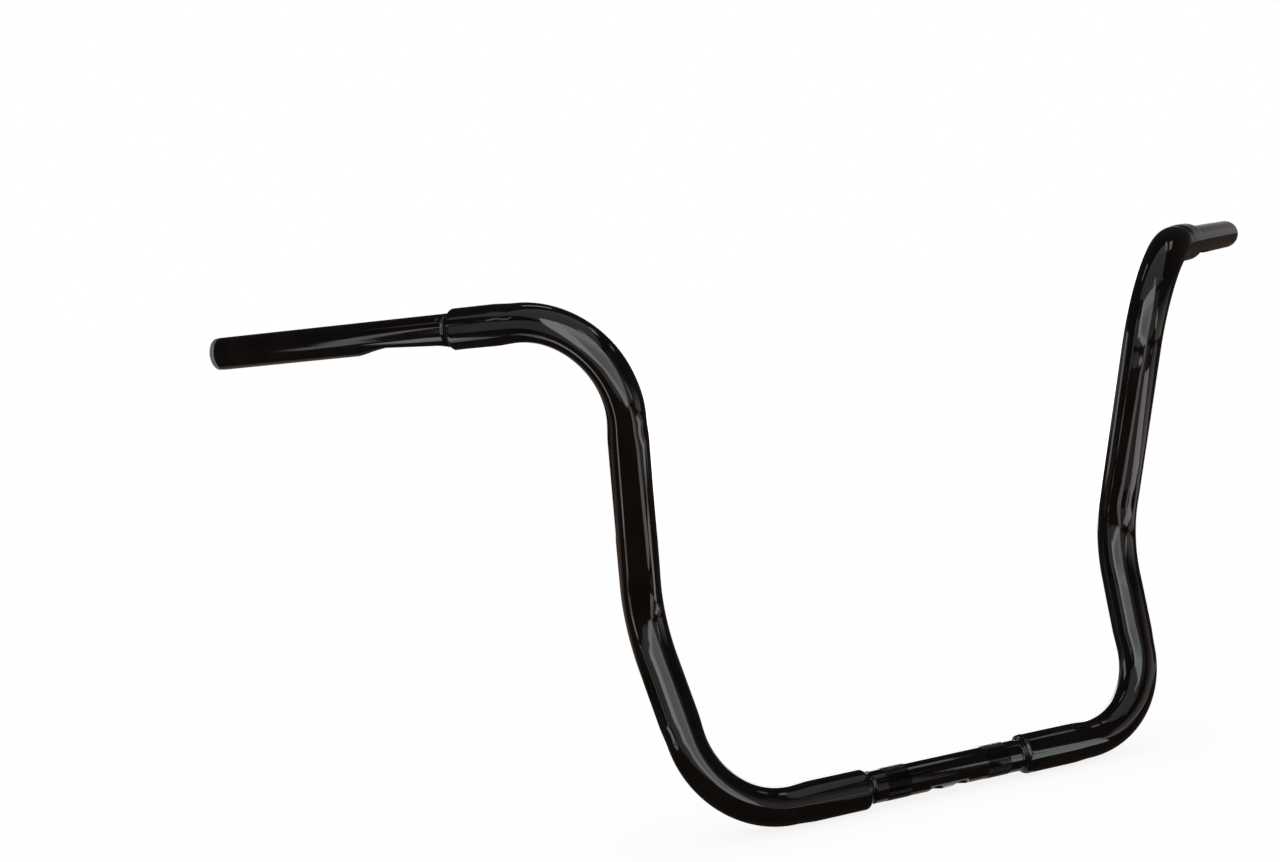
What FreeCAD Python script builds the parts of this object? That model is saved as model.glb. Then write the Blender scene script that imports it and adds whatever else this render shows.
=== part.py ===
"""Welded steel motorcycle handlebar: a thin clamp tube, two fat bent risers and two thin grip tubes.

The origin is the middle of the clamp tube.  +X runs along the clamp tube to the rider's left, +Y to
the rear, towards the rider, and +Z up, with the grips level.  Lengths are in millimetres, angles in degrees.
"""
import math
import os
from collections import namedtuple

import FreeCAD
import Part

Vec = FreeCAD.Vector

# Tubes
riser_diameter = 31.75
stub_diameter = 25.4          # clamp tube and grip tubes
stub_wall = 3.05
sleeve_length = 32.0          # how far a stub runs inside its riser
sleeve_clearance = 0.125      # radial, between a stub and its riser's bore

# Centre line of the left half, corner by corner; the right half mirrors it
clamp_length = 138.0          # bare clamp tube between the shoulders
base_width = 391.0            # between the lower corners
kink_width = 428.0            # between the kinks of the uprights
kink_height = 148.5
kink_setback = 57.0
top_width = 464.0             # between the upper corners
top_lead = 13.0               # the upper corners stand this far ahead of the clamp tube
rise = 388.0
overall_width = 960.4         # between the ends of the grip tubes
pullback = 221.7
grip_length = 206.6           # bare grip tube outside its riser

# Bends: each one flattens the tube a little in its own plane
bend_radius = 71.5
bend_flattening = 1.9
kink_radius = 98.0
kink_flattening = 0.8
flattening_run = 18.0         # straight length over which the section goes from round to oval

# Shoulders: the rounded end of a riser and the weld in the groove beside it
clamp_lip_length = 4.0
grip_lip_length = 2.9
lip_land = 0.45               # flat ring left round the bore at the riser's end
weld_width = 4.4
weld_groove_depth = 1.6
weld_neck_depth = 1.1         # how far the ground weld dips below the stub's surface

# Clamp tube: knurled bands for the clamps and holes for the wires
knurl_spacing = 88.9
knurl_length = 20.0
knurl_height = 0.2
wire_hole_diameter = 12.7
wire_hole_spacing = 21.6
wire_hole_tilt = 24.0         # from straight down towards the front

# Grip tube: a dent and a slot under it for the switch wires, and a spot that locates the switch housing
dent_start = 4.6              # from the shoulder
dent_end = 81.6
dent_shallow = 2.0            # depth near the shoulder
dent_depth = 4.4              # depth near the other end
dent_run_in = 9.0             # length over which it gets that shallow depth
dent_run_out = 26.0
dent_edge_radius = 2.0
slot_centre = 27.0
slot_length = 22.0
slot_width = 8.0
spot_centre = 7.0
spot_diameter = 4.6
spot_depth = 1.0
spot_angle = 45.0             # above the horizontal, on the front side

# End plug: a domed head on a ribbed stem
plug_head_inset = 0.2         # radial, behind the grip tube's surface
plug_rim_length = 3.4
plug_crown = 1.7
plug_edge_radius = 0.9
plug_stem_length = 17.0
plug_clearance = 0.1          # radial, between the ribs and the grip tube's bore
plug_rib_height = 0.9
plug_rib_length = 1.6
plug_rib_count = 4

riser_radius = riser_diameter / 2
stub_radius = stub_diameter / 2
stub_bore = stub_radius - stub_wall
riser_bore = stub_radius + sleeve_clearance
land_radius = riser_bore + lip_land
plug_length = plug_rim_length + plug_crown

clamp_shoulder = Vec(clamp_length / 2, 0, 0)
lower_corner = Vec(base_width / 2, 0, 0)
kink = Vec(kink_width / 2, kink_setback, kink_height)
upper_corner = Vec(top_width / 2, -top_lead, rise)
grip_end = Vec(overall_width / 2, pullback, rise)
grip_direction = (grip_end - upper_corner).normalize()
grip_shoulder = grip_end - grip_direction * grip_length

Bend = namedtuple("Bend", "start end centre axis turn into out flattening")


def bend_at(before, corner, after, radius, flattening):
    """Arc that rounds one corner of the centre line."""
    into = (corner - before).normalize()
    out = (after - corner).normalize()
    turn = into.getAngle(out)
    setback = radius * math.tan(turn / 2)
    axis = into.cross(out).normalize()
    start = corner - into * setback
    end = corner + out * setback
    return Bend(start, end, start + axis.cross(into) * radius, axis, turn, into, out, flattening)


def frame_at(origin, normal, side):
    """Placement that turns local Z to normal and local X to side."""
    turn = FreeCAD.Rotation(side, normal.cross(side), normal, "ZXY")
    return FreeCAD.Placement(origin, turn)


def rod(start, end, radius):
    """Straight solid rod between two points."""
    run = end - start
    return Part.makeCylinder(radius, run.Length, start, run)


def ring(inner, outer, length):
    """Plain ring that stands on the XY plane round the Z axis."""
    return Part.makeCylinder(outer, length).cut(Part.makeCylinder(inner, length))


def section(origin, normal, side, across, wide):
    """Round or oval wire with its larger radius, wide, along side and the other at right angles."""
    curve = Part.Circle(Vec(), Vec(0, 0, 1), wide)
    if across < wide:
        curve = Part.Ellipse(Vec(), wide, across)
    wire = Part.Wire(curve.toShape())
    wire.Placement = frame_at(origin, normal, side)
    return wire


def revolved(edges):
    """Solid turned about the Z axis from a closed profile in the XZ plane."""
    face = Part.Face(Part.Wire(edges))
    return face.revolve(Vec(), Vec(0, 0, 1), 360)


def polyline(points):
    """Straight edges through (radius, height) points in the XZ plane."""
    corners = [Vec(radius, 0, height) for radius, height in points]
    return [Part.LineSegment(a, b).toShape() for a, b in zip(corners, corners[1:])]


def arc(start, middle, end):
    """Arc edge through three (radius, height) points in the XZ plane."""
    return Part.Arc(*[Vec(radius, 0, height) for radius, height in (start, middle, end)]).toShape()


def riser_core(bends, radius):
    """Solid rod along a riser's centre line, oval in its bends and round between them."""
    pieces = []
    here = clamp_shoulder
    for bend in bends:
        onset = bend.start - bend.into * flattening_run
        fade = bend.end + bend.out * flattening_run
        across = radius - bend.flattening / 2
        round_in = section(onset, bend.into, bend.axis, radius, radius)
        oval_in = section(bend.start, bend.into, bend.axis, across, radius)
        oval_out = section(bend.end, bend.out, bend.axis, across, radius)
        round_out = section(fade, bend.out, bend.axis, radius, radius)
        pieces.append(rod(here, onset, radius))
        pieces.append(Part.makeLoft([round_in, oval_in], True))
        pieces.append(Part.Face(oval_in).revolve(bend.centre, bend.axis, math.degrees(bend.turn)))
        pieces.append(Part.makeLoft([oval_out, round_out], True))
        here = fade
    pieces.append(rod(here, grip_shoulder, radius))
    return pieces[0].multiFuse(pieces[1:]).removeSplitter()


def lip_cutter(length):
    """Ring that rounds a riser's end; the end lies on the XY plane and the riser below it."""
    drop = riser_radius - land_radius
    lip_radius = (length ** 2 + drop ** 2) / (2 * drop)
    half_turn = math.atan2(drop, length)
    start = (riser_radius, -length)
    middle = (riser_radius - lip_radius * (1 - math.cos(half_turn)), lip_radius * math.sin(half_turn) - length)
    end = (land_radius, 0)
    beyond = riser_radius + drop
    outside = polyline([end, (beyond, 0), (beyond, -length), start])
    return revolved([arc(start, middle, end)] + outside)


def make_riser():
    """Left riser: a bent tube, bored to take the stubs, with both ends rounded."""
    bends = [
        bend_at(clamp_shoulder, lower_corner, kink, bend_radius, bend_flattening),
        bend_at(lower_corner, kink, upper_corner, kink_radius, kink_flattening),
        bend_at(kink, upper_corner, grip_end, bend_radius, bend_flattening),
    ]
    tube = riser_core(bends, riser_radius).cut(riser_core(bends, riser_bore))
    for place, length in ((clamp_end_frame(), clamp_lip_length), (grip_frame(), grip_lip_length)):
        cutter = lip_cutter(length)
        cutter.Placement = place
        tube = tube.cut(cutter)
    return tube


def clamp_end_frame():
    """Frame on the riser's clamp end, with local Z out of the riser."""
    return frame_at(clamp_shoulder, Vec(-1, 0, 0), Vec(0, 1, 0))


def grip_frame():
    """Frame on the riser's grip end: local Z out along the grip and local X straight down."""
    return frame_at(grip_shoulder, grip_direction, Vec(0, 0, -1))


def weld_groove():
    """Groove that is turned into a stub beside its shoulder, on the XY plane."""
    return ring(stub_radius - weld_groove_depth, riser_radius, weld_width)


def make_weld():
    """Weld ring that fills the groove and meets the riser's end, ground to a shallow neck."""
    floor = stub_radius - weld_groove_depth
    neck = (stub_radius - weld_neck_depth, weld_width / 2)
    top = (land_radius, 0)
    foot = (stub_radius, weld_width)
    return revolved([arc(top, neck, foot)] + polyline([foot, (floor, weld_width), (floor, 0), top]))


def make_clamp_tube():
    """Centre tube with two knurled bands, two wire holes and a weld groove at each shoulder."""
    half_length = clamp_length / 2 + sleeve_length
    left_end = Vec(half_length, 0, 0)
    right_end = Vec(-half_length, 0, 0)
    tube = rod(right_end, left_end, stub_radius)
    for middle in (-knurl_spacing / 2, knurl_spacing / 2):
        band_start = Vec(middle - knurl_length / 2, 0, 0)
        band_end = Vec(middle + knurl_length / 2, 0, 0)
        tube = tube.fuse(rod(band_start, band_end, stub_radius + knurl_height))
    tube = tube.cut(rod(right_end, left_end, stub_bore))
    tilt = math.radians(wire_hole_tilt)
    down = Vec(0, -math.sin(tilt), -math.cos(tilt))
    for middle in (-wire_hole_spacing / 2, wire_hole_spacing / 2):
        mouth = Vec(middle, 0, 0)
        tube = tube.cut(rod(mouth, mouth + down * riser_radius, wire_hole_diameter / 2))
    groove = weld_groove()
    groove.Placement = clamp_end_frame()
    return tube.cut(groove).cut(mirrored(groove))


def dent_tool(wall):
    """Two rollers and the flat between them that press the dent into the +X side, a wall further in."""
    near_radius = (dent_run_in ** 2 + dent_shallow ** 2) / (2 * dent_shallow)
    far_radius = (dent_run_out ** 2 + dent_depth ** 2) / (2 * dent_depth)
    near = Vec(stub_radius - dent_shallow + near_radius, -stub_diameter, dent_start + dent_run_in)
    far = Vec(stub_radius - dent_depth + far_radius, -stub_diameter, dent_end - dent_run_out)
    run = far - near
    lean = math.atan2(run.x, run.z) - math.asin((far_radius - near_radius) / run.Length)
    inward = Vec(-math.cos(lean), 0, math.sin(lean))
    touches = [near + inward * (near_radius + wall), far + inward * (far_radius + wall)]
    across = Vec(0, 2 * stub_diameter, 0)
    flat = Part.Face(Part.makePolygon([near] + touches + [far, near])).extrude(across)
    rollers = [rod(near, near + across, near_radius + wall), rod(far, far + across, far_radius + wall)]
    return flat.multiFuse(rollers)


def dented_rod(radius, wall):
    """Rod along local Z with the switch dent in its +X side, a wall under the tube's surface."""
    return rod(Vec(0, 0, -sleeve_length), Vec(0, 0, grip_length), radius).cut(dent_tool(wall))


def wire_slot():
    """Round-ended cutter for the slot in the floor of the dent, on the +X side."""
    half_run = (slot_length - slot_width) / 2
    near = Part.makeCylinder(slot_width / 2, stub_radius, Vec(0, 0, slot_centre - half_run), Vec(1, 0, 0))
    far = Part.makeCylinder(slot_width / 2, stub_radius, Vec(0, 0, slot_centre + half_run), Vec(1, 0, 0))
    middle = Part.makeBox(stub_radius, slot_width, 2 * half_run,
                          Vec(0, -slot_width / 2, slot_centre - half_run))
    return near.multiFuse([far, middle])


def locating_spot():
    """Ball that leaves a shallow round spot on the upper front of the grip."""
    ball_radius = ((spot_diameter / 2) ** 2 + spot_depth ** 2) / (2 * spot_depth)
    reach = stub_radius - spot_depth + ball_radius
    angle = math.radians(spot_angle)
    return Part.makeSphere(ball_radius, Vec(-reach * math.sin(angle), -reach * math.cos(angle), spot_centre))


def dent_rim(shape):
    """Edges where the dent leaves the outside of the grip tube."""
    on_surface = []
    for edge in shape.Edges:
        points = edge.discretize(7)
        radii = [math.hypot(point.x, point.y) for point in points]
        inside = all(0 < point.z < grip_length for point in points)
        if inside and max(abs(radius - stub_radius) for radius in radii) < 0.001:
            on_surface.append(edge)
    return on_surface


def make_grip_tube():
    """Left grip tube, with the dent and its slot underneath and a weld groove at the shoulder."""
    outside = dented_rod(stub_radius, 0)
    outside = outside.makeFillet(dent_edge_radius, dent_rim(outside))
    tube = outside.cut(dented_rod(stub_bore, stub_wall))
    tube = tube.cut(wire_slot()).cut(locating_spot()).cut(weld_groove())
    tube.Placement = grip_frame()
    return tube


def plug_end(head_radius):
    """Edges of a plug's rounded rim and of its dome, from the rim to the axis."""
    inset = head_radius - plug_edge_radius
    reach = inset ** 2 + plug_crown ** 2 - plug_edge_radius ** 2
    dome_radius = reach / (2 * (plug_crown - plug_edge_radius))
    dome_middle = plug_length - dome_radius
    meeting = math.asin(inset / (dome_radius - plug_edge_radius))

    def on_edge(angle):
        return (inset + plug_edge_radius * math.sin(angle),
                plug_rim_length + plug_edge_radius * math.cos(angle))

    def on_dome(angle):
        return dome_radius * math.sin(angle), dome_middle + dome_radius * math.cos(angle)

    side = math.pi / 2
    rounding = arc(on_edge(side), on_edge((side + meeting) / 2), on_edge(meeting))
    dome = arc(on_edge(meeting), on_dome(meeting / 2), (0, plug_length))
    return [rounding, dome]


def make_plug():
    """Left end plug: a domed head on the tube's end and a ribbed stem in its bore."""
    head_radius = stub_radius - plug_head_inset
    rib_radius = stub_bore - plug_clearance
    stem_radius = rib_radius - plug_rib_height
    pitch = plug_stem_length / (plug_rib_count + 1)
    stem = [(0, -plug_stem_length), (stem_radius, -plug_stem_length)]
    for number in range(1, plug_rib_count + 1):
        base = number * pitch - plug_stem_length
        top = base + plug_rib_length
        stem += [(stem_radius, base), (rib_radius, top), (stem_radius, top)]
    stem += [(stem_radius, 0), (head_radius, 0), (head_radius, plug_rim_length)]
    axis = polyline([(0, plug_length), (0, -plug_stem_length)])
    plug = revolved(polyline(stem) + plug_end(head_radius) + axis)
    plug.Placement = frame_at(grip_end, grip_direction, Vec(0, 0, -1))
    return plug


def placed_weld(place):
    """Weld ring moved to a riser's end."""
    weld = make_weld()
    weld.Placement = place
    return weld


def mirrored(shape):
    """The same piece on the other side of the bike."""
    return shape.mirror(Vec(), Vec(1, 0, 0))


def main():
    os.makedirs("parts", exist_ok=True)
    nodes = {"clamp_tube": make_clamp_tube()}
    sided = {
        "riser": make_riser(),
        "grip_tube": make_grip_tube(),
        "end_plug": make_plug(),
        "clamp_weld": placed_weld(clamp_end_frame()),
        "grip_weld": placed_weld(grip_frame()),
    }
    for name, shape in sided.items():
        nodes["left_" + name] = shape
        nodes["right_" + name] = mirrored(shape)
    for name, shape in nodes.items():
        shape.exportStep("parts/" + name + ".step")


main()
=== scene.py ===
"""Gloss black motorcycle handlebar in a white studio.

Each tube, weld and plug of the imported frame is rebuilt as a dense, smooth skin of the same form, with the
diamond knurl, the uneven weld and the rounded edges that only show close up.  Sizes are in millimetres and
become metres when a mesh is made.  Angles are in degrees.
"""
import math
from collections import namedtuple

import bmesh
import bpy
import numpy as np
from mathutils import Matrix, Vector


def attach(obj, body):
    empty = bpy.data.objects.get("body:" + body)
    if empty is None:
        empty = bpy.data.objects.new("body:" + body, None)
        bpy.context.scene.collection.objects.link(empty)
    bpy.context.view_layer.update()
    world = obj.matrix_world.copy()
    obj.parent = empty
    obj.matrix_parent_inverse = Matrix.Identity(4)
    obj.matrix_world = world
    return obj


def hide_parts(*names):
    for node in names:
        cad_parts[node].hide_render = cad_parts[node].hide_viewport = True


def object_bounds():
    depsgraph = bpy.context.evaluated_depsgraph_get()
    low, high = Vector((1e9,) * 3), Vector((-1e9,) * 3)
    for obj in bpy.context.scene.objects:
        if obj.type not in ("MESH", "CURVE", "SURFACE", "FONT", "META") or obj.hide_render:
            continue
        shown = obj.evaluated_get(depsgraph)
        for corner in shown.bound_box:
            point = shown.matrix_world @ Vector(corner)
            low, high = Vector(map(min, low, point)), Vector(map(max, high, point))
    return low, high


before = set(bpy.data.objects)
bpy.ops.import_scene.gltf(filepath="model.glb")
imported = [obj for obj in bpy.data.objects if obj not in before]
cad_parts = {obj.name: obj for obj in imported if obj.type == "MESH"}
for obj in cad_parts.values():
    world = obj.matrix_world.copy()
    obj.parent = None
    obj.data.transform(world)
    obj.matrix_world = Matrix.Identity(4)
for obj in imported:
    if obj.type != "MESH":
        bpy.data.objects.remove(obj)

cad_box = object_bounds()
MM = 0.001

# Tubes
riser_radius = 15.875
stub_radius = 12.7
stub_bore = 9.65
riser_bore = 12.825
sleeve_length = 32.0

# Centre line of the left half, corner by corner
clamp_shoulder = np.array([69.0, 0.0, 0.0])
lower_corner = np.array([195.5, 0.0, 0.0])
kink = np.array([214.0, 57.0, 148.5])
upper_corner = np.array([232.0, -13.0, 388.0])
grip_end = np.array([480.2, 221.7, 388.0])
grip_length = 206.6

# Bends
bend_radius = 71.5
bend_flattening = 1.9
kink_radius = 98.0
kink_flattening = 0.8
flattening_run = 18.0

# Shoulders
clamp_lip_length = 4.0
grip_lip_length = 2.9
land_radius = 13.275
weld_width = 4.4
weld_groove_depth = 1.6
weld_neck_depth = 1.1
weld_ripple = 0.12
weld_run_out = 0.42           # share of the weld's width over which it dips on each side

# Clamp tube
knurl_spacing = 88.9
knurl_length = 20.0
knurl_height = 0.2
knurl_depth = 0.1
knurl_pitch = 1.05
wire_hole_radius = 6.35
wire_hole_spacing = 21.6
wire_hole_tilt = 24.0
hole_edge_radius = 0.6

# Grip tube
dent_start = 4.6
dent_end = 81.6
dent_shallow = 2.0
dent_depth = 4.4
dent_run_in = 9.0
dent_run_out = 26.0
dent_edge_blend = 0.9
slot_centre = 27.0
slot_length = 22.0
slot_width = 8.0
spot_centre = 7.0
spot_radius = 2.6
spot_depth = 1.0
spot_angle = -135.0           # from straight down, round the grip's axis

# End plug
plug_head_radius = 12.5
plug_rim_length = 3.4
plug_edge_radius = 0.9
plug_edge_turn = 72.0         # how far the rounded edge turns before the dome begins
plug_length = 5.1
plug_stem_length = 17.0
plug_rib_radius = 9.55
plug_stem_radius = 8.65
plug_rib_length = 1.6
plug_rib_count = 4

# Mesh density
columns = 120                 # points round a tube
fine_step = 0.8               # along a tube where holes and dents are
plain_step = 6.0
bend_step = 1.25
bore_thinning = 4             # a riser's bore keeps one station in this many
lip_rows = 13
weld_rows = 31
hole_margin = 3.0             # wall that is re-meshed round a hole
hole_columns = 14
knurl_divisions = 4           # per pitch
plug_edge_rows = 7
plug_dome_rows = 10
step_gap = 0.01               # from a sharp step to the station beside it
solve_rounds = 8
crease_angle = 34.0

# Camera: a point on its axis, how it looks there, and the lens
view_point = np.array([-185.5, 94.3, 291.4])
view_distance = 1514.0
view_azimuth = -20.33
view_elevation = 4.71
view_roll = 6.45
view_lens = 54.2
view_sensor = 36.0

# Coat and plastic: tones between which the colour wanders, roughness from sharp to dull
coat_ior = 1.36
coat_tones = ((0.0025, 0.0018, 0.0015, 1), (0.005, 0.004, 0.0035, 1))
plug_tones = ((0.075, 0.085, 0.085, 1), (0.11, 0.12, 0.12, 1))
coat_roughness = (0.05, 0.09)
knurl_roughness = (0.08, 0.12)
plug_roughness = (0.38, 0.55)
# Painted shade on the knurl: its gloss is turned down in the grooves, where shade would fall
knurl_groove_shade_gloss = (0.11, 0.5)     # in the grooves and on the tops
knurl_groove_shade_drop = (0.05, 0.01)  # below the tops, where the one ends and the other begins

# Studio
floor_reach = 30000.0
floor_tone = (0.98, 0.98, 0.98, 1)
floor_glow = 0.85             # share of the floor's white that no shadow darkens
flag_level = -15.5            # just over the floor
card_level = -14.0            # over the flag
room_tone = (0.03, 0.027, 0.027, 1)
wall_tone = (0.32, 0.31, 0.32, 1)
wall_side = (0.35, 0.7)       # how far back a direction points where the wall begins and where it is full
wall_top = (0.08, 0.22)       # how far up it points where the wall starts to end and where it has ended

Place = namedtuple("Place", "origin across beside along")
Bend = namedtuple("Bend", "start end centre axis turn into out flattening")
Hole = namedtuple("Hole", "station angle half_run radius")
Panel = namedtuple("Panel", "name corner run rise glow tint fade")
Noise = namedtuple("Noise", "scale detail")

# Studio panels that only the gloss shows, each from one corner along its two sides.  The fade is the share
# of its rise over which a panel comes up from dark, and 0 makes it even.
neutral = (1, 1, 1, 1)
green_grey = (0.93, 1, 0.97, 1)
cool = (0.92, 0.98, 1, 1)
lilac = (1, 0.92, 1, 1)
warm = (1, 0.9, 0.85, 1)
brown = (1, 0.75, 0.6, 1)
panels = [
    # In front
    Panel("front_left", (-813, -458, 190), (248, -108, -30), (0, 0, 960), 6.5, green_grey, 0.08),
    Panel("front_rim", (-564, -562, 99), (339, -148, -166), (0, 0, 210), 5.5, neutral, 0.45),
    Panel("front_foot", (-225, -710, -15), (220, -96, 0), (0, 0, 165), 5.2, neutral, 0),
    Panel("front_middle", (-566, -566, 110), (468, -204, 0), (0, 0, 450), 3.2, green_grey, 0),
    Panel("front_right", (-225, -710, 100), (247, -107, 0), (110, -48, 460), 4.0, cool, 0),
    Panel("front_top", (-602, -550, 556), (715, -311, 0), (0, 0, 150), 4.0, green_grey, 0),
    Panel("front_crown", (-602, -550, 706), (715, -311, 0), (0, 0, 450), 5.4, green_grey, 0),
    Panel("front_high", (-80, -777, 1150), (138, -60, 0), (0, 0, 400), 4.2, neutral, 0),
    Panel("front_low", (-816, -465, 0), (348, -152, 0), (0, 0, 220), 1.0, warm, 0),
    Panel("front_card", (12, -825, 0), (481, -210, 0), (0, 0, 420), 0.7, neutral, 0),
    Panel("front_card_top", (12, -825, 420), (481, -210, 0), (0, 0, 480), 0.4, neutral, 0),
    # At the picture's left
    Panel("side_card", (-1327, -235, 0), (514, -223, 0), (0, 0, 750), 0.8, neutral, 0.1),
    Panel("side_strip", (-1300, -110, 0), (0, 60, 0), (0, -42, 440), 3.0, green_grey, 0),
    Panel("side_strip_middle", (-1300, -152, 440), (0, 60, 0), (0, -43, 440), 3.6, lilac, 0),
    Panel("side_strip_top", (-1308, -243, 900), (37, -16, 0), (0, 0, 350), 4.0, lilac, 0),
    # At the picture's right
    Panel("low_strip", (571, -1061, 180), (339, -148, -380), (0, 0, 300), 4.3, green_grey, 0),
    Panel("line_strip", (681, -1108, 1200), (138, -60, 0), (0, 0, 70), 2.2, lilac, 0),
    Panel("right_card", (620, -670, 480), (630, 510, 0), (0, 0, -480), 1.3, warm, 1),
    # Overhead and behind
    Panel("high_strip", (-250, 400, 1050), (270, 0, 0), (0, 60, 0), 4.0, lilac, 0),
    Panel("rear_strip", (680, -150, 1300), (0, 400, 0), (0, 0, 200), 2.8, lilac, 0),
    Panel("riser_strip", (560, -100, 900), (110, 0, 0), (0, 180, 0), 2.2, warm, 0),
    Panel("rear_edge", (-262, 412, 160), (112, 104, 0), (0, 0, 260), 2.6, lilac, 0),
    Panel("rear_box", (365, 1414, 0), (600, -130, 0), (0, 0, 500), 4.0, neutral, 0),
    Panel("ceiling_panel", (-1500, -1700, 1700), (2300, 0, 0), (0, 1950, 0), 0.85, neutral, 0),
    # On the floor, where the flag keeps the white out of the gloss
    Panel("floor_flag", (-floor_reach, -floor_reach, flag_level), (2 * floor_reach, 0, 0),
          (0, 2 * floor_reach, 0), 0.05, brown, 0),
    Panel("left_floor_strip", (-1000, -60, card_level), (320, 88, 0), (0, 85, 0), 4.8, green_grey, 0),
    Panel("left_floor_tip", (-680, 28, card_level), (100, 27, 0), (0, 85, 0), 2.4, green_grey, 0),
    Panel("far_floor_strip", (-1300, -80, card_level), (110, 66, 0), (0, 70, 0), 2.7, green_grey, 0),
    Panel("end_floor_strip", (-2000, -250, card_level), (700, 180, 0), (0, 80, 0), 2.7, green_grey, 0),
    Panel("rear_floor_card", (-1500, 350, card_level), (1200, 0, 0), (0, 850, 0), 0.35, brown, 0.3),
    Panel("front_floor_strip", (-45, -800, card_level), (0, 620, 0), (140, 0, 0), 3.0, warm, 0),
    Panel("near_floor_strip", (60, -38, card_level), (105, 0, 0), (85, -150, 0), 4.3, green_grey, 0),
    Panel("near_floor_card", (185, -38, card_level), (70, 0, 0), (85, -220, 0), 2.4, lilac, 0.5),
    Panel("near_rim", (75, -70, card_level), (97, 0, 0), (0, 0, 15), 4.2, green_grey, 0),
    Panel("middle_floor_card", (110, -700, card_level), (170, 0, 0), (0, 450, 0), 0.5, neutral, 0),
    Panel("right_floor_strip", (262, -500, card_level), (90, 350, 0), (235, 0, 0), 4.5, lilac, 0),
    Panel("hole_card", (-14, -13, card_level), (34, 0, 0), (0, 11, 0), 1.6, neutral, 0),
    Panel("clamp_card", (-66, -9, card_level - 0.2), (142, 0, 0), (0, 34, 0), 0.5, warm, 0),
    Panel("clamp_front_card", (-75, -130, card_level), (105, 0, 0), (0, 80, 0), 0.75, neutral, 0),
    Panel("right_floor_card", (600, -500, card_level), (300, 0, 0), (0, 600, 0), 1.0, warm, 0),
]


def unit(vector):
    return vector / np.linalg.norm(vector)


def place_at(origin, along, across):
    """Local frame: stations run along it, and angles start at across."""
    return Place(origin, across, np.cross(along, across), along)


def smooth_step(value):
    value = np.clip(value, 0, 1)
    return value * value * (3 - 2 * value)


def smooth_least(a, b, blend):
    """The smaller of two values, with the corner between them rounded off."""
    share = np.clip(0.5 + (b - a) / (2 * blend), 0, 1)
    return b + (a - b) * share - blend * share * (1 - share)


def tube_points(place, station, angle, radius):
    """Points at a station, angle and radius in a local frame."""
    station, angle, radius = np.broadcast_arrays(station, angle, radius)
    across = (radius * np.cos(angle))[..., None] * place.across
    beside = (radius * np.sin(angle))[..., None] * place.beside
    return place.origin + across + beside + station[..., None] * place.along


def ring_angles(count):
    return np.arange(count) * 2 * math.pi / count


def grid_faces(rows, count):
    """Quads of a grid that closes on itself both ways, as an array of rows, columns and corners."""
    index = np.arange(rows * count).reshape(rows, count)
    beside = np.roll(index, -1, axis=1)
    return np.stack([index, beside, np.roll(beside, -1, axis=0), np.roll(index, -1, axis=0)], axis=-1)


def loop_faces(first, second):
    """Quads between two closed loops of as many points each."""
    return np.stack([first, np.roll(first, -1), np.roll(second, -1), second], axis=-1)


def block_border(rows, cols):
    """Grid points round a block of cells, in order, as an array of rows and one of columns."""
    (top, bottom), (left, right) = rows, cols
    border = [(top, column) for column in range(left, right)]
    border += [(row, right) for row in range(top, bottom)]
    border += [(bottom, column) for column in range(right, left, -1)]
    border += [(row, left) for row in range(bottom, top, -1)]
    return np.array(border).T


def rim_distance(hole, turn):
    """From the middle of a round-ended slot to its rim, in the direction turn."""
    along = np.abs(np.cos(turn))
    across = np.maximum(np.abs(np.sin(turn)), 1e-9)
    side = hole.radius / across
    cap = hole.half_run * along + np.sqrt(np.maximum(hole.radius ** 2 - (hole.half_run * across) ** 2, 0))
    return np.where(side * along <= hole.half_run, side, cap)


def angle_beside(hole, station, offset, surface):
    """Angle at which a surface lies this far beside the hole's middle plane."""
    angle = np.full_like(offset, hole.angle)
    for _ in range(solve_rounds):
        angle = hole.angle + np.arcsin(np.clip(offset / surface(station, angle), -1, 1))
    return angle


def hole_rings(place, hole, border_station, border_angle, outer, inner):
    """Loops of points from the outside of a wall, over a rounded edge, through a hole and to the inside."""

    def border_of(surface):
        along = border_station - hole.station
        beside = surface(border_station, border_angle) * np.sin(border_angle - hole.angle)
        return np.stack([along, beside])

    def on_wall(spot, surface, sunk=0.0):
        station = hole.station + spot[0]
        angle = angle_beside(hole, station, spot[1], surface)
        return tube_points(place, station, angle, surface(station, angle) - sunk)

    outside = border_of(outer)
    inside = border_of(inner)
    turn = np.arctan2(outside[1], outside[0])
    ray = np.stack([np.cos(turn), np.sin(turn)])
    reach = rim_distance(hole, turn)
    edge = ray * (reach + hole_edge_radius)
    # Over the outside, round the edge, then through the wall and over the inside
    rings = [on_wall(edge + share * (outside - edge), outer) for share in (0.7, 0.4, 0.15, 0.0)]
    for lean in np.radians((22.5, 45, 67.5, 90)):
        spot = ray * (reach + hole_edge_radius * (1 - math.sin(lean)))
        rings.append(on_wall(spot, outer, hole_edge_radius * (1 - math.cos(lean))))
    rim = ray * reach
    rings += [on_wall(rim + share * (inside - rim), inner) for share in (0.0, 0.2, 0.6)]
    return rings


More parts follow.
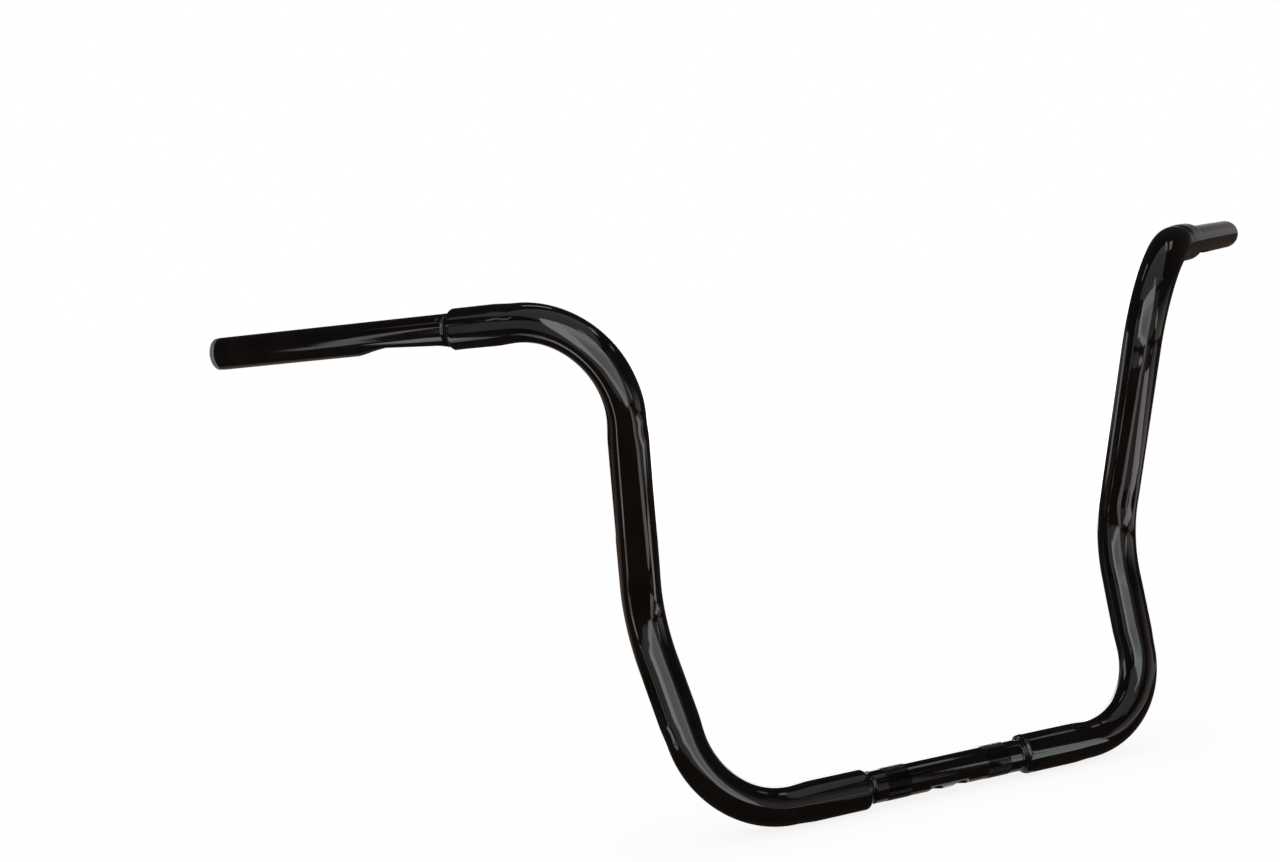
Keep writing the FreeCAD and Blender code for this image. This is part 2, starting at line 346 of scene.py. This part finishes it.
def straight_tube(place, stations, outer, inner, holes):
    """Closed wall of a straight tube; outer and inner give the radius at a station and angle."""
    rows = len(stations)
    angles = ring_angles(columns)
    station, angle = np.meshgrid(stations, angles, indexing="ij")
    walls = [tube_points(place, station, angle, outer(station, angle)),
             tube_points(place, station, angle, inner(station, angle))[::-1]]
    points = [np.concatenate(walls).reshape(-1, 3)]
    quads = grid_faces(2 * rows, columns)
    keep = np.ones((2 * rows, columns), bool)
    patches = []
    used = len(points[0])
    for hole in holes:
        margin = hole.half_run + hole.radius + hole_margin
        span = np.searchsorted(stations, (hole.station - margin, hole.station + margin))
        middle = round(hole.angle / angles[1])
        sides = (middle - hole_columns, middle + hole_columns)
        border_row, border_column = block_border(span, sides)
        loops = [border_row * columns + border_column % columns]
        for ring in hole_rings(place, hole, stations[border_row], border_column * angles[1], outer, inner):
            points.append(ring)
            loops.append(used + np.arange(len(ring)))
            used += len(ring)
        loops.append((2 * rows - 1 - border_row) * columns + border_column % columns)
        patches += [loop_faces(first, second) for first, second in zip(loops, loops[1:])]
        cut_columns = np.arange(*sides) % columns
        keep[np.ix_(np.arange(*span), cut_columns)] = False
        keep[np.ix_(2 * rows - 2 - np.arange(*span), cut_columns)] = False
    return np.concatenate(points), np.concatenate([quads[keep]] + patches)


def turned_ring(place, profile, ripple=0.0):
    """Ring turned from a closed profile of (radius, station) points, a little uneven if asked."""
    radius, station = np.array(profile).T
    angle = ring_angles(columns)
    # Three waves of different lengths look like the work of a hand
    wave = np.sin(3 * angle + 1) + 0.6 * np.sin(7 * angle) + 0.5 * np.sin(13 * angle + 2)
    points = tube_points(place, station[:, None], angle, radius[:, None] + ripple * wave / 2)
    return points.reshape(-1, 3), grid_faces(len(profile), columns).reshape(-1, 4)


def turned_solid(place, profile):
    """Solid turned from an open profile of (radius, station) points that starts and ends on the axis."""
    radius, station = np.array(profile[1:-1]).T
    points = tube_points(place, station[:, None], ring_angles(columns), radius[:, None]).reshape(-1, 3)
    poles = [place.origin + place.along * profile[end][1] for end in (0, -1)]
    index = np.arange(len(points)).reshape(-1, columns)
    quads = grid_faces(len(radius), columns)[:-1].reshape(-1, 4).tolist()
    for pole, ring in ((len(points), index[0]), (len(points) + 1, index[-1])):
        quads += [(pole, a, b) for a, b in zip(ring.tolist(), np.roll(ring, -1).tolist())]
    return np.concatenate([points, poles]), quads


def bend_at(before, corner, after, radius, flattening):
    """Arc that rounds one corner of the centre line."""
    into = unit(corner - before)
    out = unit(after - corner)
    turn = math.acos(into @ out)
    setback = radius * math.tan(turn / 2)
    axis = unit(np.cross(into, out))
    start = corner - into * setback
    end = corner + out * setback
    centre = start + np.cross(axis, into) * radius
    return Bend(start, end, centre, axis, turn, into, out, flattening)


def riser_bends():
    """The three bends of the left riser, from the clamp tube up."""
    return [
        bend_at(clamp_shoulder, lower_corner, kink, bend_radius, bend_flattening),
        bend_at(lower_corner, kink, upper_corner, kink_radius, kink_flattening),
        bend_at(kink, upper_corner, grip_end, bend_radius, bend_flattening),
    ]


def line_stations(start, end, axis, ovals):
    """Stations on a straight stretch: point, direction, bend axis and flattening."""
    length = np.linalg.norm(end - start)
    along = unit(end - start)
    rise_in, rise_out = ovals
    for distance in np.arange(0, length - bend_step / 2, 2 * bend_step):
        near_start = rise_in * (1 - smooth_step(distance / flattening_run))
        near_end = rise_out * (1 - smooth_step((length - distance) / flattening_run))
        side = axis[0] if distance < length / 2 else axis[1]
        yield start + along * distance, along, side, near_start + near_end


def arc_stations(bend):
    """Stations on a bend."""
    spoke = bend.start - bend.centre
    count = math.ceil(bend.turn * np.linalg.norm(spoke) / bend_step)
    for angle in np.arange(count) * bend.turn / count:
        turn = np.array(Matrix.Rotation(angle, 3, Vector(bend.axis)))
        yield bend.centre + turn @ spoke, turn @ bend.into, bend.axis, bend.flattening


def lip_stations(end, along, axis, length):
    """Close stations on the rounded end of a riser."""
    for distance in np.linspace(0, length, lip_rows):
        yield end + along * distance, along, axis, 0.0


def riser_path():
    """Every station of the left riser, from the clamp tube to the grip."""
    bends = riser_bends()
    grip_along = bends[2].out
    grip_shoulder = grip_end - grip_along * grip_length
    stations = list(lip_stations(clamp_shoulder, bends[0].into, bends[0].axis, clamp_lip_length))[:-1]
    here = clamp_shoulder + bends[0].into * clamp_lip_length
    axis, oval = bends[0].axis, 0.0
    for bend in bends:
        stations += line_stations(here, bend.start, (axis, bend.axis), (oval, bend.flattening))
        stations += arc_stations(bend)
        here, axis, oval = bend.end, bend.axis, bend.flattening
    lip_start = grip_shoulder - grip_along * grip_lip_length
    stations += line_stations(here, lip_start, (axis, axis), (oval, 0.0))
    stations += lip_stations(lip_start, grip_along, axis, grip_lip_length)
    return [np.array(column) for column in zip(*stations)]


def carried_sides(directions):
    """One side direction per station, carried along the path without twist."""
    sides = [np.array([0.0, 1.0, 0.0])]
    for along in directions[1:]:
        sides.append(unit(sides[-1] - along * (sides[-1] @ along)))
    return np.array(sides)


def lip_radius_at(distance, length):
    """Outside radius of a riser at a distance from an end that is rounded over a length."""
    drop = riser_radius - land_radius
    curve = (length ** 2 + drop ** 2) / (2 * drop)
    depth = np.clip(length - distance, 0, length)
    return riser_radius - curve + np.sqrt(curve ** 2 - depth ** 2)


def riser_mesh():
    """Left riser: a bent tube, a little oval in its bends, with rounded ends."""
    point, along, axis, flattening = riser_path()
    side = carried_sides(along)
    beside = np.cross(along, side)
    steps = np.linalg.norm(np.diff(point, axis=0), axis=1)
    station = np.concatenate([[0], np.cumsum(steps)])
    lean = np.arctan2((axis * beside).sum(1), (axis * side).sum(1))
    angle = ring_angles(columns)[None]

    def wall(radius):
        wide = radius[:, None]
        narrow = wide - flattening[:, None] / 2
        turned = angle - lean[:, None]
        reach = 1 / np.sqrt((np.cos(turned) / wide) ** 2 + (np.sin(turned) / narrow) ** 2)
        around = np.cos(angle)[..., None] * side[:, None] + np.sin(angle)[..., None] * beside[:, None]
        return point[:, None] + reach[..., None] * around

    clamp_lip = lip_radius_at(station, clamp_lip_length)
    grip_lip = lip_radius_at(station[-1] - station, grip_lip_length)
    outside = wall(np.minimum(clamp_lip, grip_lip))
    inside = wall(np.full(len(station), riser_bore))
    thinned = np.concatenate([inside[:-1:bore_thinning], inside[-1:]])[::-1]
    points = np.concatenate([outside, thinned])
    return points.reshape(-1, 3), grid_faces(len(points), columns).reshape(-1, 4)


def clamp_place():
    """Local frame of the clamp tube: stations along +X from its middle, angles from straight down."""
    return place_at(np.zeros(3), np.array([1.0, 0.0, 0.0]), np.array([0.0, 0.0, -1.0]))


def grip_place():
    """Local frame of the left grip: stations outward from its shoulder, angles from straight down."""
    along = riser_bends()[2].out
    return place_at(grip_end - along * grip_length, along, np.array([0.0, 0.0, -1.0]))


def clamp_end_place():
    """Local frame of the left clamp weld: stations from the riser's end towards the middle."""
    return place_at(clamp_shoulder, np.array([-1.0, 0.0, 0.0]), np.array([0.0, 1.0, 0.0]))


def dent_floor(station):
    """Distance from the grip's axis to the floor of the dent."""
    near_radius = (dent_run_in ** 2 + dent_shallow ** 2) / (2 * dent_shallow)
    far_radius = (dent_run_out ** 2 + dent_depth ** 2) / (2 * dent_depth)
    near = np.array([stub_radius - dent_shallow + near_radius, dent_start + dent_run_in])
    far = np.array([stub_radius - dent_depth + far_radius, dent_end - dent_run_out])
    run = far - near
    lean = math.atan2(*run) - math.asin((far_radius - near_radius) / np.linalg.norm(run))
    inward = np.array([-math.cos(lean), math.sin(lean)])
    first = near + inward * near_radius
    last = far + inward * far_radius

    def under(middle, radius):
        # Outside the dent the floor only has to stay clear of the tube, so the arc stops short of its side
        away = np.clip(station - middle[1], -0.95 * radius, 0.95 * radius)
        return middle[0] - np.sqrt(radius ** 2 - away ** 2)

    flat = first[0] + (last[0] - first[0]) * (station - first[1]) / (last[1] - first[1])
    rounded = np.where(station < first[1], under(near, near_radius), under(far, far_radius))
    return np.where((station > first[1]) & (station < last[1]), flat, rounded)


def dented(radius, floor, angle):
    """Radius of a round tube whose underside is pressed flat at a distance from its axis."""
    # The least cosine keeps the flat well outside the tube on its other sides
    flat = floor / np.maximum(np.cos(angle), 0.05)
    return smooth_least(radius, flat, dent_edge_blend)


def grip_outer(station, angle):
    """Outside of the grip tube: the dent underneath, the locating spot and the weld groove."""
    radius = dented(stub_radius, dent_floor(station), angle)
    away = (angle - math.radians(spot_angle) + math.pi) % (2 * math.pi) - math.pi
    distance = np.hypot(station - spot_centre, away * stub_radius)
    spot = spot_depth * (1 + np.cos(math.pi * np.clip(distance / spot_radius, 0, 1))) / 2
    groove = np.where((station > 0) & (station < weld_width), weld_groove_depth, 0)
    return radius - spot - groove


def grip_inner(station, angle):
    return dented(stub_bore, dent_floor(station) - (stub_radius - stub_bore), angle)


def grip_tube_mesh():
    """Left grip tube from the end of its sleeve to the plug."""
    fine_end = dent_end + hole_margin
    stations = np.concatenate([
        [-sleeve_length, -sleeve_length / 2, 0, step_gap, weld_width - step_gap],
        np.arange(weld_width, fine_end, fine_step),
        np.arange(fine_end, grip_length - 1, plain_step),
        [grip_length - 1, grip_length],
    ])
    slot = Hole(slot_centre, 0.0, (slot_length - slot_width) / 2, slot_width / 2)
    return straight_tube(grip_place(), stations, grip_outer, grip_inner, [slot])


def clamp_outer(station, angle):
    """Outside of the clamp tube, recessed under the knurled bands and at the weld grooves."""
    from_band = np.abs(np.abs(station) - knurl_spacing / 2)
    recess = np.where(from_band < knurl_length / 2, knurl_depth + knurl_height, 0)
    from_end = clamp_shoulder[0] - np.abs(station)
    groove = np.where((from_end > 0) & (from_end < weld_width), weld_groove_depth, 0)
    return stub_radius - recess - groove


def clamp_inner(station, angle):
    return np.full_like(station, stub_bore)


def clamp_tube_mesh():
    """Centre tube with its two wire holes."""
    shoulder = clamp_shoulder[0]
    band = (knurl_spacing - knurl_length) / 2
    hole_end = wire_hole_spacing / 2 + wire_hole_radius + 2 * hole_margin
    step = np.array([-step_gap, step_gap])
    half = np.concatenate([
        np.arange(fine_step / 2, hole_end, fine_step),
        np.linspace(hole_end, band - step_gap, 5),
        [band + step_gap, band + knurl_length / 2],
        band + knurl_length + step,
        shoulder - weld_width + step,
        shoulder + step,
        [shoulder + sleeve_length / 2, shoulder + sleeve_length],
    ])
    stations = np.concatenate([-half[::-1], half])
    tilt = -math.radians(wire_hole_tilt)
    holes = [Hole(side * wire_hole_spacing / 2, tilt, 0.0, wire_hole_radius) for side in (-1, 1)]
    return straight_tube(clamp_place(), stations, clamp_outer, clamp_inner, holes)


def knurl_mesh():
    """Left knurled band: rows of flat-topped diamonds between two crossing sets of grooves."""
    rows = knurl_divisions * round(knurl_length / knurl_pitch)
    count = knurl_divisions * round(2 * math.pi * stub_radius / knurl_pitch)
    row, column = np.mgrid[0:rows + 1, 0:count]
    groove = ((row + column) % knurl_divisions == 0) | ((row - column) % knurl_divisions == 0)
    groove[[0, -1]] = True
    low = stub_radius - knurl_depth
    radius = np.where(groove, low, stub_radius + knurl_height)
    station = knurl_spacing / 2 + knurl_length * (row / rows - 0.5)
    angle = column * 2 * math.pi / count
    place = clamp_place()
    inside = np.full((2, count), low - knurl_depth)
    points = np.concatenate([
        tube_points(place, station, angle, radius),
        tube_points(place, station[[-1, 0]], angle[:2], inside),
    ])
    quads = grid_faces(rows + 3, count)
    facets = quads[:rows]
    # Each facet is cut along the diagonal that keeps a groove or a top unbroken
    first, second, third, fourth = np.moveaxis(groove.ravel()[facets], -1, 0)
    fold = (first == third) & ((second != fourth) | first)
    folded = [facets[fold][:, (0, 1, 2)], facets[fold][:, (0, 2, 3)]]
    crossed = [facets[~fold][:, (0, 1, 3)], facets[~fold][:, (1, 2, 3)]]
    triangles = np.concatenate(folded + crossed).tolist()
    return points.reshape(-1, 3), triangles + quads[rows:].reshape(-1, 4).tolist()


def weld_profile():
    """Section of a weld: a neck ground between the riser's end and the stub, which runs out smoothly."""
    share = np.linspace(0, 1, weld_rows)
    chord = land_radius + (stub_radius - land_radius) * share
    depth = (land_radius + stub_radius) / 2 - (stub_radius - weld_neck_depth)
    dip = depth * smooth_step(share / weld_run_out) * smooth_step((1 - share) / weld_run_out)
    floor = stub_radius - weld_groove_depth
    return list(zip(chord - dip, weld_width * share)) + [(floor, weld_width), (floor, 0)]


def plug_profile():
    """Section of an end plug: a ribbed stem, a rim with a rounded edge and a domed end."""
    pitch = plug_stem_length / (plug_rib_count + 1)
    profile = [(0, -plug_stem_length), (plug_stem_radius, -plug_stem_length)]
    for number in range(1, plug_rib_count + 1):
        base = number * pitch - plug_stem_length
        top = base + plug_rib_length
        profile += [(plug_stem_radius, base), (plug_rib_radius, top), (plug_stem_radius, top + step_gap)]
    profile += [(plug_stem_radius, 0), (plug_head_radius, 0.0)]
    edge_middle = plug_head_radius - plug_edge_radius
    for lean in np.radians(np.linspace(0, plug_edge_turn, plug_edge_rows)):
        profile.append((edge_middle + plug_edge_radius * math.cos(lean),
                        plug_rim_length + plug_edge_radius * math.sin(lean)))
    dome_start = profile[-1]
    height = plug_length - dome_start[1]
    for share in np.arange(1, plug_dome_rows + 1) / plug_dome_rows:
        profile.append((dome_start[0] * (1 - share), dome_start[1] + height * (1 - (1 - share) ** 2)))
    return profile


def add_piece(name, mesh_data, material, node, smooth=True):
    """Turn points and faces into a piece that stands for a node of the frame."""
    points, faces = mesh_data
    mesh = bpy.data.meshes.new(name)
    mesh.from_pydata((np.asarray(points) * MM).tolist(), [], np.asarray(faces, dtype=object).tolist())
    shape = bmesh.new()
    shape.from_mesh(mesh)
    bmesh.ops.recalc_face_normals(shape, faces=shape.faces)
    shape.to_mesh(mesh)
    shape.free()
    if smooth:
        mesh.shade_smooth()
        mesh.set_sharp_from_angle(angle=math.radians(crease_angle))
    mesh.materials.append(material)
    piece = bpy.data.objects.new(name, mesh)
    bpy.context.scene.collection.objects.link(piece)
    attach(piece, "root")
    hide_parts(node)


def add_pair(name, mesh_data, material, node, smooth=True):
    """Add a left piece and its mirror image on the right."""
    points, faces = mesh_data
    add_piece("left_" + name, mesh_data, material, node.format("left"), smooth)
    flipped = points * np.array([-1, 1, 1])
    add_piece("right_" + name, (flipped, faces), material, node.format("right"), smooth)


def new_material(name):
    material = bpy.data.materials.new(name)
    material.use_nodes = True
    return material


def tree_of(owner):
    """Nodes and links of a material or a world."""
    return owner.node_tree.nodes, owner.node_tree.links


def add_node(nodes, kind, **inputs):
    """New shader node with some of its inputs set."""
    node = nodes.new(kind)
    for name, value in inputs.items():
        node.inputs[name.replace("_", " ")].default_value = value
    return node


def feed(links, source, socket):
    """Join an output to a socket, or set the socket to a plain value."""
    if isinstance(source, bpy.types.NodeSocket):
        links.new(source, socket)
    else:
        socket.default_value = source


def combine(nodes, links, operation, first, second):
    """Maths node on two outputs, or on an output and a number."""
    maths = nodes.new("ShaderNodeMath")
    maths.operation = operation
    feed(links, first, maths.inputs[0])
    feed(links, second, maths.inputs[1])
    return maths.outputs[0]


def mix_colours(nodes, links, share, first, second):
    """Colour that goes from the first to the second as the share goes from 0 to 1."""
    mix = nodes.new("ShaderNodeMix")
    mix.data_type = "RGBA"
    feed(links, share, mix.inputs["Factor"])
    feed(links, first, mix.inputs["A"])
    feed(links, second, mix.inputs["B"])
    return mix.outputs["Result"]


def vary(nodes, links, source, low, high):
    """Spread a texture's middle values over a range."""
    spread = add_node(nodes, "ShaderNodeMapRange", From_Min=0.3, From_Max=0.7, To_Min=low, To_Max=high)
    links.new(source, spread.inputs["Value"])
    return spread.outputs["Result"]


def object_noise(nodes, links, noise):
    """Noise fixed to the object; its scale is in waves per metre."""
    place = nodes.new("ShaderNodeTexCoord")
    texture = add_node(nodes, "ShaderNodeTexNoise", Scale=noise.scale, Detail=noise.detail)
    links.new(place.outputs["Object"], texture.inputs["Vector"])
    return texture.outputs["Fac"]


def uneven_finish(material, tones, roughness, patches, wear):
    """Let the colour follow one noise and the roughness another."""
    nodes, links = tree_of(material)
    shader = nodes["Principled BSDF"]
    lightness = vary(nodes, links, object_noise(nodes, links, patches), 0, 1)
    links.new(mix_colours(nodes, links, lightness, *tones), shader.inputs["Base Color"])
    dullness = vary(nodes, links, object_noise(nodes, links, wear), *roughness)
    links.new(dullness, shader.inputs["Roughness"])


def add_bump(material, grain, distance, strength):
    """Fine noise in the surface."""
    nodes, links = tree_of(material)
    bump = add_node(nodes, "ShaderNodeBump", Distance=distance, Strength=strength)
    links.new(object_noise(nodes, links, grain), bump.inputs["Height"])
    links.new(bump.outputs["Normal"], nodes["Principled BSDF"].inputs["Normal"])


def coat_material(name, roughness):
    """Black coat that is a little deeper here and there, with a faint orange peel."""
    material = new_material(name)
    material.node_tree.nodes["Principled BSDF"].inputs["IOR"].default_value = coat_ior
    uneven_finish(material, coat_tones, roughness, patches=Noise(30, 3), wear=Noise(90, 4))
    add_bump(material, grain=Noise(420, 1), distance=0.02 * MM, strength=0.25)
    return material


def knurl_coat_with_groove_shade():
    """The same coat on the knurl, with painted shade in its grooves, where the gloss is turned down."""
    material = coat_material("knurled_black_coat_groove_shade", knurl_roughness)
    nodes, links = tree_of(material)
    place = nodes.new("ShaderNodeTexCoord")
    across = nodes.new("ShaderNodeVectorMath")
    across.operation = "MULTIPLY"
    across.inputs[1].default_value = (0, 1, 1)
    links.new(place.outputs["Object"], across.inputs[0])
    from_axis = nodes.new("ShaderNodeVectorMath")
    from_axis.operation = "LENGTH"
    links.new(across.outputs["Vector"], from_axis.inputs[0])
    # Painted shade: below the knurl's tops the gloss falls off, so the grooves reflect little light
    low, high = ((stub_radius + knurl_height - drop) * MM for drop in knurl_groove_shade_drop)
    gloss = add_node(nodes, "ShaderNodeMapRange", From_Min=low, From_Max=high,
                     To_Min=knurl_groove_shade_gloss[0], To_Max=knurl_groove_shade_gloss[1])
    links.new(from_axis.outputs["Value"], gloss.inputs["Value"])
    links.new(gloss.outputs["Result"], nodes["Principled BSDF"].inputs["Specular IOR Level"])
    return material


def plug_plastic():
    """Satin dark grey plastic with a fine moulded grain."""
    material = new_material("plug_plastic")
    uneven_finish(material, plug_tones, plug_roughness, patches=Noise(120, 4), wear=Noise(200, 3))
    add_bump(material, grain=Noise(2500, 2), distance=0.05 * MM, strength=0.4)
    return material


def build_object():
    """Every piece of the bar, the right ones as mirror images of the left."""
    black = coat_material("gloss_black_coat", coat_roughness)
    plastic = plug_plastic()
    add_piece("clamp_tube_skin", clamp_tube_mesh(), black, "clamp_tube")
    add_pair("knurl_band", knurl_mesh(), knurl_coat_with_groove_shade(), "clamp_tube", smooth=False)
    add_pair("riser_skin", riser_mesh(), black, "{}_riser")
    add_pair("grip_skin", grip_tube_mesh(), black, "{}_grip_tube")
    for end, place in (("clamp", clamp_end_place()), ("grip", grip_place())):
        weld = turned_ring(place, weld_profile(), weld_ripple)
        add_pair(end + "_weld_bead", weld, black, "{}_" + end + "_weld")
    plug_place = grip_place()._replace(origin=grip_end)
    add_pair("plug_cap", turned_solid(plug_place, plug_profile()), plastic, "{}_end_plug")


def add_camera():
    """Camera at the photograph's place, with its slight tilt to one side."""
    azimuth, elevation, roll = np.radians((view_azimuth, view_elevation, view_roll))
    forward = np.array([-math.sin(azimuth) * math.cos(elevation), math.cos(azimuth) * math.cos(elevation),
                        -math.sin(elevation)])
    level = unit(np.cross(forward, (0, 0, 1)))
    upright = np.cross(level, forward)
    right = level * math.cos(roll) - upright * math.sin(roll)
    up = np.cross(right, forward)
    camera = bpy.data.objects.new("camera", bpy.data.cameras.new("camera"))
    camera.data.lens = view_lens
    camera.data.sensor_width = view_sensor
    place = np.eye(4)
    place[:3, :3] = np.stack([right, up, -forward], axis=1)
    place[:3, 3] = (view_point - forward * view_distance) * MM
    camera.matrix_world = Matrix(place.tolist())
    bpy.context.scene.collection.objects.link(camera)
    bpy.context.scene.camera = camera


def add_stage(name, corners, material):
    """Flat four-sided piece of the studio."""
    mesh = bpy.data.meshes.new(name)
    mesh.from_pydata([tuple(corner) for corner in corners], [], [(0, 1, 2, 3)])
    mesh.materials.append(material)
    piece = bpy.data.objects.new(name, mesh)
    bpy.context.scene.collection.objects.link(piece)
    return piece


def floor_material():
    """White floor that still takes the object's shadow."""
    material = new_material("floor_white")
    nodes, links = tree_of(material)
    nodes.remove(nodes["Principled BSDF"])
    matt = add_node(nodes, "ShaderNodeBsdfDiffuse", Color=floor_tone)
    glow = add_node(nodes, "ShaderNodeEmission", Color=neutral, Strength=1)
    path = nodes.new("ShaderNodeLightPath")
    seen = combine(nodes, links, "MAXIMUM", path.outputs["Is Camera Ray"], path.outputs["Is Glossy Ray"])
    blend = nodes.new("ShaderNodeMixShader")
    links.new(combine(nodes, links, "MULTIPLY", seen, floor_glow), blend.inputs["Fac"])
    links.new(matt.outputs[0], blend.inputs[1])
    links.new(glow.outputs[0], blend.inputs[2])
    links.new(blend.outputs[0], nodes["Material Output"].inputs["Surface"])
    return material


def add_floor():
    """Wide white floor just under the object."""
    reach = floor_reach * MM
    low = cad_box[0][2]
    corners = [(-reach, -reach, low), (reach, -reach, low), (reach, reach, low), (-reach, reach, low)]
    add_stage("floor", corners, floor_material())


def panel_material(panel):
    """Plain glow, which comes up from dark over the foot of a panel that has a fade."""
    material = new_material(panel.name)
    nodes, links = tree_of(material)
    nodes.remove(nodes["Principled BSDF"])
    glow = add_node(nodes, "ShaderNodeEmission", Color=panel.tint, Strength=panel.glow)
    links.new(glow.outputs[0], nodes["Material Output"].inputs["Surface"])
    if panel.fade:
        place = nodes.new("ShaderNodeTexCoord")
        axes = nodes.new("ShaderNodeSeparateXYZ")
        links.new(place.outputs["UV"], axes.inputs[0])
        edge = add_node(nodes, "ShaderNodeMapRange", From_Max=panel.fade, To_Max=panel.glow)
        edge.interpolation_type = "SMOOTHSTEP"
        links.new(axes.outputs["Y"], edge.inputs["Value"])
        links.new(edge.outputs["Result"], glow.inputs["Strength"])
    return material


def add_panels():
    """Put up the panels, unseen by the camera and without a share in the plain light."""
    for panel in panels:
        corner, run, rise = (np.array(side) * MM for side in (panel.corner, panel.run, panel.rise))
        corners = [corner, corner + run, corner + run + rise, corner + rise]
        piece = add_stage(panel.name, corners, panel_material(panel))
        loops = piece.data.uv_layers.new().data
        for loop, spot in zip(loops, ((0, 0), (1, 0), (1, 1), (0, 1))):
            loop.uv = spot
        piece.visible_camera = False
        piece.visible_diffuse = False
        piece.visible_shadow = False


def add_world():
    """White all round, and for gloss a dim room with a pale grey wall low down behind the bar."""
    world = bpy.data.worlds.new("studio")
    world.use_nodes = True
    nodes, links = tree_of(world)
    place = nodes.new("ShaderNodeTexCoord")
    axes = nodes.new("ShaderNodeSeparateXYZ")
    links.new(place.outputs["Generated"], axes.inputs[0])
    behind = add_node(nodes, "ShaderNodeMapRange", From_Min=wall_side[0], From_Max=wall_side[1])
    above = add_node(nodes, "ShaderNodeMapRange", From_Min=wall_top[0], From_Max=wall_top[1],
                     To_Min=1, To_Max=0)
    for edge, axis in ((behind, "Y"), (above, "Z")):
        edge.interpolation_type = "SMOOTHSTEP"
        links.new(axes.outputs[axis], edge.inputs["Value"])
    wall = combine(nodes, links, "MULTIPLY", behind.outputs["Result"], above.outputs["Result"])
    room = mix_colours(nodes, links, wall, room_tone, wall_tone)
    path = nodes.new("ShaderNodeLightPath")
    sky = mix_colours(nodes, links, path.outputs["Is Glossy Ray"], neutral, room)
    links.new(sky, nodes["Background"].inputs["Color"])
    bpy.context.scene.world = world


build_object()
add_camera()
add_floor()
add_panels()
add_world()
bpy.context.scene.view_settings.view_transform = "Standard"
